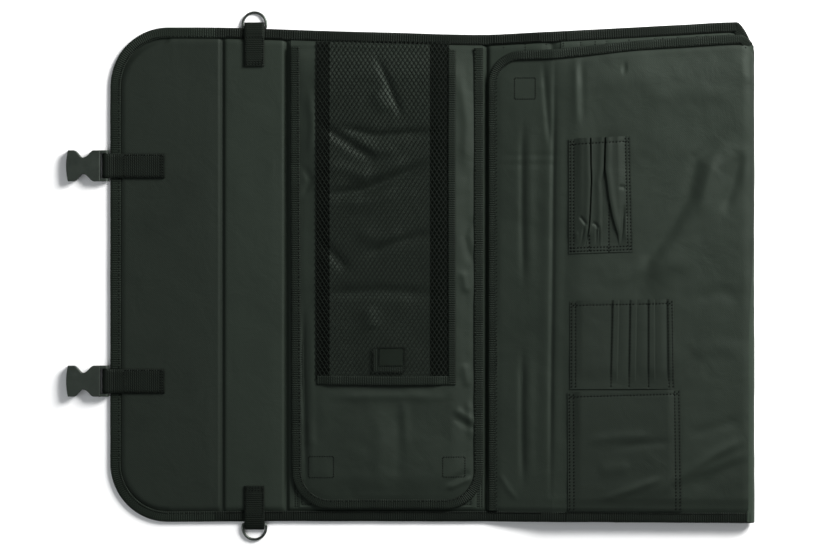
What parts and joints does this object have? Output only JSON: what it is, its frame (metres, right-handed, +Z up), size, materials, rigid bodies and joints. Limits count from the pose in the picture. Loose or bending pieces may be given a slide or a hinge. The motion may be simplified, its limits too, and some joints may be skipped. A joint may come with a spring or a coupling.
{
  "type": "knife case",
  "caption": "Soft-sided fold-up chef's knife case, opened flat, with boarded panels, guard flaps, knife slots, mesh and flat pockets, D-rings and side-release buckles",
  "frame": {"origin": "middle of the back panel's flat underside, on the table", "axes": "+X from the closing flap towards the front panel, +Y towards the top edge in the picture, +Z up out of the open case"},
  "size_m": [0.6859, 0.5268, 0.0264],
  "materials": {
    "outer_nylon": "coated plain-weave nylon, dull sheen",
    "lining_nylon": "coated nylon, soft sheen",
    "guard_nylon": "coated nylon, soft sheen",
    "ribbed_tape": "ribbed binding tape",
    "woven_webbing": "woven webbing",
    "netting": "knitted hexagonal net",
    "hook_pad": "hook-and-loop pad",
    "stiff_board": "plain board",
    "acetal": "moulded, satin",
    "gunmetal": "dark nickel plate"
  },
  "bodies": {
    "back_panel": {"back_panel_outer_cloth": "outer_nylon", "back_panel_lining": "lining_nylon", "back_panel_board": "stiff_board", "back_panel_top_binding": "ribbed_tape", "back_panel_bottom_binding": "ribbed_tape", "back_knife_slots": "lining_nylon"},
    "back_guard_flap": {"back_guard_flap_cloth": "guard_nylon", "back_guard_flap_binding": "ribbed_tape", "mesh_pocket_net": "netting", "mesh_pocket_binding": "ribbed_tape", "mesh_pocket_hook_pad": "hook_pad"},
    "first_spine": {"first_spine_outer_cloth": "outer_nylon", "first_spine_lining": "lining_nylon", "first_spine_board": "stiff_board", "first_spine_top_binding": "ribbed_tape", "first_spine_bottom_binding": "ribbed_tape", "top_ring_tab": "woven_webbing", "bottom_ring_tab": "woven_webbing"},
    "top_d_ring": {"top_d_ring": "gunmetal"},
    "bottom_d_ring": {"bottom_d_ring": "gunmetal"},
    "closing_flap": {"closing_flap_outer_cloth": "outer_nylon", "closing_flap_lining": "lining_nylon", "closing_flap_board": "stiff_board", "closing_flap_binding": "ribbed_tape", "top_buckle_webbing": "woven_webbing", "bottom_buckle_webbing": "woven_webbing"},
    "top_socket": {"top_buckle_socket": "acetal"},
    "bottom_socket": {"bottom_buckle_socket": "acetal"},
    "second_spine": {"second_spine_outer_cloth": "outer_nylon", "second_spine_lining": "lining_nylon", "second_spine_board": "stiff_board", "second_spine_top_binding": "ribbed_tape", "second_spine_bottom_binding": "ribbed_tape"},
    "front_panel": {"front_panel_outer_cloth": "outer_nylon", "front_panel_lining": "lining_nylon", "front_panel_board": "stiff_board", "front_panel_top_binding": "ribbed_tape", "front_panel_bottom_binding": "ribbed_tape", "front_knife_slots": "lining_nylon", "top_plug_webbing": "woven_webbing", "bottom_plug_webbing": "woven_webbing"},
    "front_guard_flap": {"front_guard_flap_cloth": "guard_nylon", "front_guard_flap_binding": "ribbed_tape", "front_guard_crease": "guard_nylon", "pleated_pocket": "guard_nylon", "card_pocket": "guard_nylon", "lower_pocket": "guard_nylon"},
    "front_guard_side": {"front_guard_side_cloth": "guard_nylon", "front_guard_side_binding": "ribbed_tape"},
    "fold_strip": {"fold_strip": "lining_nylon"},
    "leaf": {"leaf_outer_cloth": "outer_nylon", "leaf_lining": "lining_nylon", "leaf_board": "stiff_board", "leaf_binding": "ribbed_tape"},
    "top_plug": {"top_buckle_plug": "acetal"},
    "top_plug_upper_arm": {"top_plug_upper_arm": "acetal"},
    "top_plug_lower_arm": {"top_plug_lower_arm": "acetal"},
    "bottom_plug": {"bottom_buckle_plug": "acetal"},
    "bottom_plug_upper_arm": {"bottom_plug_upper_arm": "acetal"},
    "bottom_plug_lower_arm": {"bottom_plug_lower_arm": "acetal"}
  },
  "joints": [
    {"name": "first_spine_fold", "type": "hinge", "parent": "back_panel", "child": "first_spine", "pos_m": [-0.1, 0, 0.0008], "axis": [0, -1, 0], "range_deg": [-90, 0]},
    {"name": "closing_flap_fold", "type": "hinge", "parent": "first_spine", "child": "closing_flap", "pos_m": [-0.164, 0, 0.0008], "axis": [0, -1, 0], "range_deg": [-90, 0]},
    {"name": "top_ring_swivel", "type": "hinge", "parent": "first_spine", "child": "top_d_ring", "pos_m": [-0.132, 0.2482, 0.00285], "axis": [1, 0, 0], "range_deg": [-30, 140]},
    {"name": "bottom_ring_swivel", "type": "hinge", "parent": "first_spine", "child": "bottom_d_ring", "pos_m": [-0.132, -0.2482, 0.00285], "axis": [-1, 0, 0], "range_deg": [-30, 140]},
    {"name": "top_socket_swivel", "type": "hinge", "parent": "closing_flap", "child": "top_socket", "pos_m": [-0.2808, 0.11, 0.0045], "axis": [0, -1, 0], "range_deg": [-110, 60]},
    {"name": "bottom_socket_swivel", "type": "hinge", "parent": "closing_flap", "child": "bottom_socket", "pos_m": [-0.2808, -0.105, 0.0045], "axis": [0, -1, 0], "range_deg": [-110, 60]},
    {"name": "second_spine_fold", "type": "hinge", "parent": "back_panel", "child": "second_spine", "pos_m": [0.1, 0, 0.0008], "axis": [0, -1, 0], "range_deg": [-8.6, 53.3]},
    {"name": "front_fold", "type": "hinge", "parent": "second_spine", "child": "front_panel", "pos_m": [0.16525, 0, 0.01075], "axis": [0, -1, 0], "range_deg": [0, 126.6]},
    {"name": "strip_fold", "type": "hinge", "parent": "front_panel", "child": "fold_strip", "pos_m": [0.36525, 0, 0.01075], "axis": [0, -1, 0], "range_deg": [0, 90]},
    {"name": "leaf_fold", "type": "hinge", "parent": "fold_strip", "child": "leaf", "pos_m": [0.36525, 0, 0.0031], "axis": [0, -1, 0], "range_deg": [0, 90]},
    {"name": "back_guard_flap_lift", "type": "hinge", "parent": "back_panel", "child": "back_guard_flap", "pos_m": [0, 0.2334, 0.0056], "axis": [-1, 0, 0], "range_deg": [0, 170]},
    {"name": "front_guard_flap_lift", "type": "hinge", "parent": "front_panel", "child": "front_guard_flap", "pos_m": [0.26525, -0.2334, 0.01555], "axis": [-1, 0, 0], "range_deg": [-170, 0]},
    {"name": "front_guard_side_fold", "type": "hinge", "parent": "front_guard_flap", "child": "front_guard_side", "pos_m": [0.16525, 0, 0.01075], "axis": [0, 1, 0], "range_deg": [0, 126.6], "deforming": ["front_guard_crease"]},
    {"name": "top_plug_swivel", "type": "hinge", "parent": "front_panel", "child": "top_plug", "pos_m": [0.20925, 0.11, 0.00375], "axis": [0, -1, 0], "range_deg": [0, 120]},
    {"name": "bottom_plug_swivel", "type": "hinge", "parent": "front_panel", "child": "bottom_plug", "pos_m": [0.20925, -0.105, 0.00375], "axis": [0, -1, 0], "range_deg": [0, 120]},
    {"name": "top_plug_upper_arm_flex", "type": "hinge", "parent": "top_plug", "child": "top_plug_upper_arm", "pos_m": [0.19595, 0.1185, 0.00375], "axis": [0, 0, 1], "range_deg": [0, 6], "stiffness_Nm_per_rad": 0.05},
    {"name": "top_plug_lower_arm_flex", "type": "hinge", "parent": "top_plug", "child": "top_plug_lower_arm", "pos_m": [0.19595, 0.1015, 0.00375], "axis": [0, 0, -1], "range_deg": [0, 6], "stiffness_Nm_per_rad": 0.05},
    {"name": "bottom_plug_upper_arm_flex", "type": "hinge", "parent": "bottom_plug", "child": "bottom_plug_upper_arm", "pos_m": [0.19595, -0.0965, 0.00375], "axis": [0, 0, 1], "range_deg": [0, 6], "stiffness_Nm_per_rad": 0.05},
    {"name": "bottom_plug_lower_arm_flex", "type": "hinge", "parent": "bottom_plug", "child": "bottom_plug_lower_arm", "pos_m": [0.19595, -0.1135, 0.00375], "axis": [0, 0, -1], "range_deg": [0, 6], "stiffness_Nm_per_rad": 0.05}
  ],
  "couplings": [
    {"joint": "leaf_fold", "follows": "strip_fold", "ratio": 1},
    {"joint": "front_guard_side_fold", "follows": "front_fold", "ratio": 1}
  ]
}
